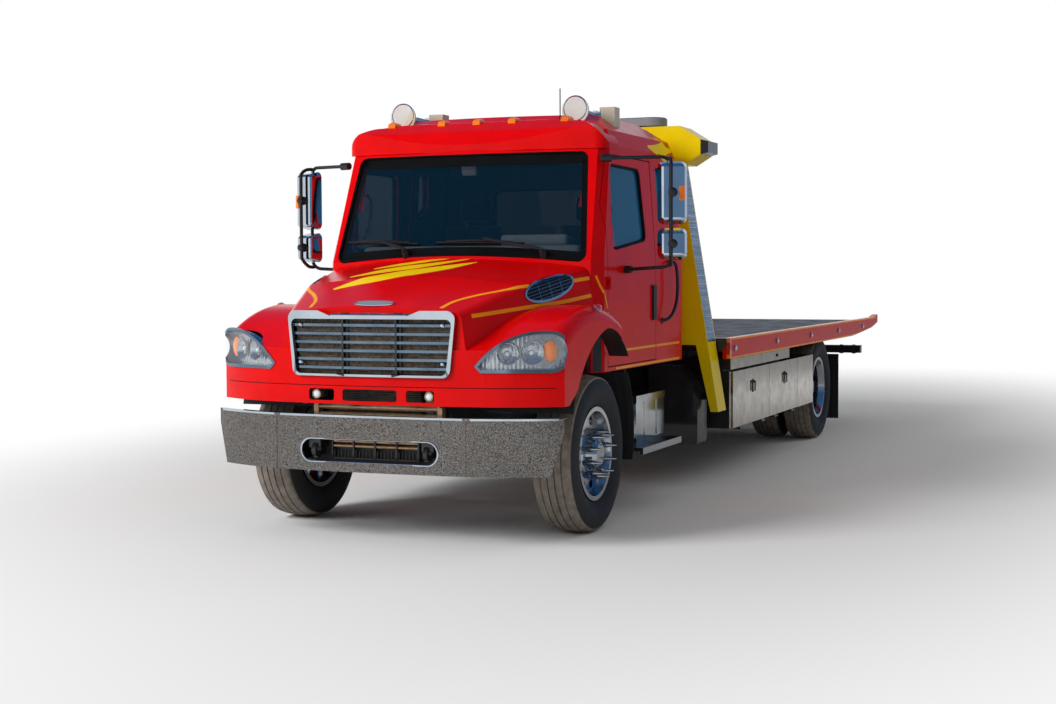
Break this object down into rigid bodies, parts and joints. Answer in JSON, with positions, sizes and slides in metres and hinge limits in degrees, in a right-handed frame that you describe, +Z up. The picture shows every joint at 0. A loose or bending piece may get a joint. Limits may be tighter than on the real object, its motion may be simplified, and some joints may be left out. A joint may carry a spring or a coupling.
{
  "type": "rollback tow truck",
  "caption": "Flatbed recovery truck: tilting hood, extended cab with opening doors, light pylon, tool boxes, and a deck that slides back and tilts over a rear wheel lift.",
  "frame": {"origin": "middle of the ground rectangle under the truck", "axes": "+X to the driver's left side, -Y to the front, +Z up"},
  "size_m": [2.9844, 9.9498, 2.955],
  "materials": {
    "paint": "clear-coated red paint",
    "chrome": "bright plated steel",
    "black_plastic": "moulded textured black plastic",
    "black_steel": "semi-gloss black frame paint",
    "glass": "tinted window glass",
    "lamp": "clear lamp cover",
    "amber": "amber lamp lens",
    "red_lens": "red lamp lens",
    "alloy": "polished alloy",
    "tyre": "black tyre rubber",
    "iron": "painted cast iron",
    "stainless": "polished stainless sheet",
    "yellow_paint": "yellow paint",
    "deck_paint": "red paint, dark floor plate",
    "seat": "dark seat fabric"
  },
  "bodies": {
    "root": {"chassis_frame": "black_steel", "front_bumper": "chrome", "radiator": "iron", "engine": "iron", "cab_shell": "paint", "cab_glass": "glass", "sun_visor": "paint", "clearance_lamps": "amber", "air_horns": "chrome", "cab_fittings": "black_plastic", "seats": "seat", "front_axle": "iron", "leaf_springs": "black_steel", "rear_axle": "iron", "battery_box": "alloy", "fuel_tank": "alloy", "cab_steps": "black_steel", "side_tanks": "black_steel", "mudguards": "black_plastic", "toolboxes": "black_steel", "toolbox_panels": "stainless", "light_pylon": "yellow_paint", "light_bar": "amber"},
    "hood_assembly": {"hood": "paint", "grille": "chrome", "headlamps": "lamp", "wheel_liners": "black_plastic", "hood_vents": "paint"},
    "door_left_assembly": {"door_left": "paint", "door_glass_left": "glass", "mirror_left": "black_plastic"},
    "door_right_assembly": {"door_right": "paint", "door_glass_right": "glass", "mirror_right": "black_plastic"},
    "box_door_left_front": {"toolbox_door_left_front": "stainless"},
    "box_door_left_rear": {"toolbox_door_left_rear": "stainless"},
    "box_door_right_front": {"toolbox_door_right_front": "stainless"},
    "box_door_right_rear": {"toolbox_door_right_rear": "stainless"},
    "steer_left": {"knuckle_left": "iron"},
    "steer_right": {"knuckle_right": "iron"},
    "track_rod": {"tie_rod": "iron"},
    "wheel_front_left": {"tyre_front_left": "tyre", "rim_front_left": "alloy"},
    "wheel_front_right": {"tyre_front_right": "tyre", "rim_front_right": "alloy"},
    "wheels_rear_left": {"tyres_rear_left": "tyre", "rims_rear_left": "alloy"},
    "wheels_rear_right": {"tyres_rear_right": "tyre", "rims_rear_right": "alloy"},
    "tilt_subframe": {"tilt_frame": "black_steel", "rear_lamps": "red_lens"},
    "bed": {"deck": "deck_paint", "deck_lamps": "chrome", "winch_frame": "black_steel"},
    "drum": {"winch_drum": "iron"},
    "tilt_barrels": {"tilt_cylinders": "black_steel"},
    "tilt_pistons": {"tilt_rods": "chrome"},
    "lift_boom": {"wheel_lift_boom": "black_steel"},
    "lift_crossbar": {"wheel_lift_crossbar": "black_steel"}
  },
  "joints": [
    {"name": "hood_tilt", "type": "hinge", "parent": "root", "child": "hood_assembly", "pos_m": [0, -4.895, 0.875], "axis": [1, 0, 0], "range_deg": [0, 70]},
    {"name": "door_left_hinge", "type": "hinge", "parent": "root", "child": "door_left_assembly", "pos_m": [1.043, -3.475, 1.445], "axis": [0, 0, -1], "range_deg": [0, 70]},
    {"name": "door_right_hinge", "type": "hinge", "parent": "root", "child": "door_right_assembly", "pos_m": [-1.043, -3.475, 1.445], "axis": [0, 0, 1], "range_deg": [0, 70]},
    {"name": "box_left_front_hinge", "type": "hinge", "parent": "root", "child": "box_door_left_front", "pos_m": [1.222, -0.438, 0.394], "axis": [0, 1, 0], "range_deg": [0, 95]},
    {"name": "box_left_rear_hinge", "type": "hinge", "parent": "root", "child": "box_door_left_rear", "pos_m": [1.222, 0.68, 0.394], "axis": [0, 1, 0], "range_deg": [0, 95]},
    {"name": "box_right_front_hinge", "type": "hinge", "parent": "root", "child": "box_door_right_front", "pos_m": [-1.222, -0.438, 0.394], "axis": [0, -1, 0], "range_deg": [0, 95]},
    {"name": "box_right_rear_hinge", "type": "hinge", "parent": "root", "child": "box_door_right_rear", "pos_m": [-1.222, 0.68, 0.394], "axis": [0, -1, 0], "range_deg": [0, 95]},
    {"name": "steering_left", "type": "hinge", "parent": "root", "child": "steer_left", "pos_m": [0.8, -3.97, 0.49], "axis": [0, 0, 1], "range_deg": [-35, 35]},
    {"name": "steering_right", "type": "hinge", "parent": "root", "child": "steer_right", "pos_m": [-0.8, -3.97, 0.49], "axis": [0, 0, 1], "range_deg": [-35, 35]},
    {"name": "tie_rod_pin", "type": "hinge", "parent": "steer_left", "child": "track_rod", "pos_m": [0.8, -3.77, 0.385], "axis": [0, 0, 1], "range_deg": [-35, 35]},
    {"name": "front_left_spin", "type": "hinge", "parent": "steer_left", "child": "wheel_front_left", "pos_m": [1.005, -3.97, 0.508], "axis": [1, 0, 0], "continuous": true},
    {"name": "front_right_spin", "type": "hinge", "parent": "steer_right", "child": "wheel_front_right", "pos_m": [-1.005, -3.97, 0.508], "axis": [1, 0, 0], "continuous": true},
    {"name": "rear_left_spin", "type": "hinge", "parent": "root", "child": "wheels_rear_left", "pos_m": [0.857, 2.425, 0.508], "axis": [1, 0, 0], "continuous": true},
    {"name": "rear_right_spin", "type": "hinge", "parent": "root", "child": "wheels_rear_right", "pos_m": [-0.857, 2.425, 0.508], "axis": [1, 0, 0], "continuous": true},
    {"name": "bed_tilt", "type": "hinge", "parent": "root", "child": "tilt_subframe", "pos_m": [0, 3.175, 0.835], "axis": [-1, 0, 0], "range_deg": [0, 11.5]},
    {"name": "bed_slide", "type": "slide", "parent": "tilt_subframe", "child": "bed", "axis": [0, 1, 0], "range_m": [0, 3]},
    {"name": "winch_turn", "type": "hinge", "parent": "bed", "child": "drum", "pos_m": [0, -1.015, 1.265], "axis": [1, 0, 0], "continuous": true},
    {"name": "tilt_cylinder_pin", "type": "hinge", "parent": "root", "child": "tilt_barrels", "pos_m": [0, 2.975, 0.53], "axis": [-1, 0, 0], "range_deg": [0, 12.2]},
    {"name": "tilt_cylinder_stroke", "type": "slide", "parent": "tilt_barrels", "child": "tilt_pistons", "axis": [0, -0.9285, 0.3714], "range_m": [0, 0.075]},
    {"name": "lift_boom_tilt", "type": "hinge", "parent": "tilt_subframe", "child": "lift_boom", "pos_m": [0, 3.785, 0.64], "axis": [-1, 0, 0], "range_deg": [0, 10]},
    {"name": "lift_boom_reach", "type": "slide", "parent": "lift_boom", "child": "lift_crossbar", "axis": [0, 1, 0], "range_m": [0, 0.45]}
  ],
  "couplings": [
    {"joint": "steering_right", "follows": "steering_left", "ratio": 1},
    {"joint": "tie_rod_pin", "follows": "steering_left", "ratio": -1},
    {"joint": "tilt_cylinder_pin", "follows": "bed_tilt", "ratio": 1.0315},
    {"joint": "tilt_cylinder_stroke", "follows": "bed_tilt", "m_per_rad": 0.36243}
  ]
}
